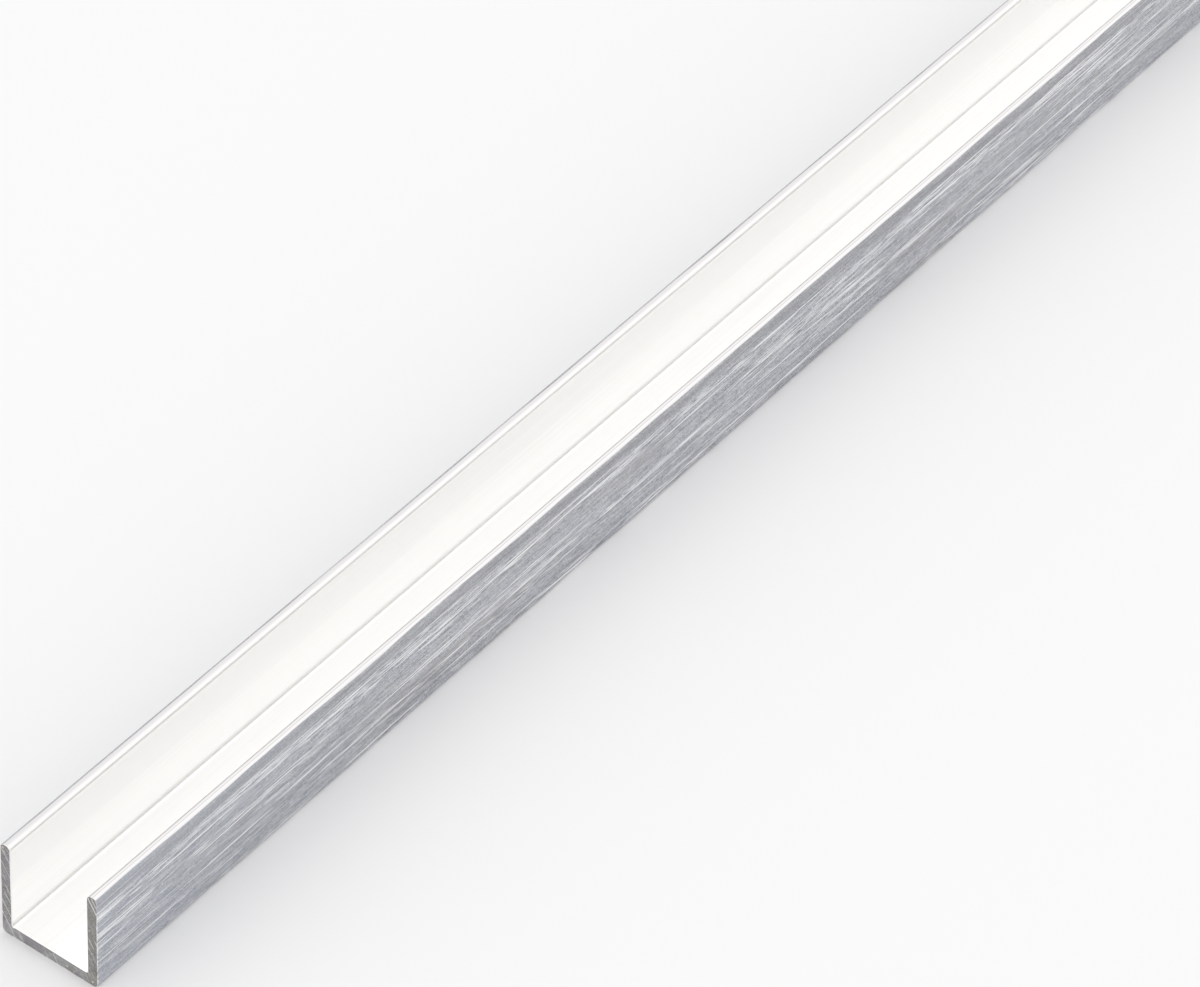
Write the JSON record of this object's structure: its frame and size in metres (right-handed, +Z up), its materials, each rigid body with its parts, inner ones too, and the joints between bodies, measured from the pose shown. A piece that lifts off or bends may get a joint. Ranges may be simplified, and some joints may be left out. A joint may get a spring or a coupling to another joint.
{
  "type": "aluminium u-profile",
  "caption": "Straight aluminium extrusion of U section with thin walls, rounded tips and sawn ends, for edging panels or holding a strip or cable.",
  "frame": {"origin": "middle of the underside of the web", "axes": "+X across the flanges, +Y along the bar, +Z up out of the open side"},
  "size_m": [0.01, 1, 0.01],
  "materials": {
    "mill_aluminium": "mill finish, satin with fine lengthwise die lines and scuffs; ends sawn and not deburred"
  },
  "bodies": {
    "root": {"u_profile": "mill_aluminium"}
  },
  "joints": []
}
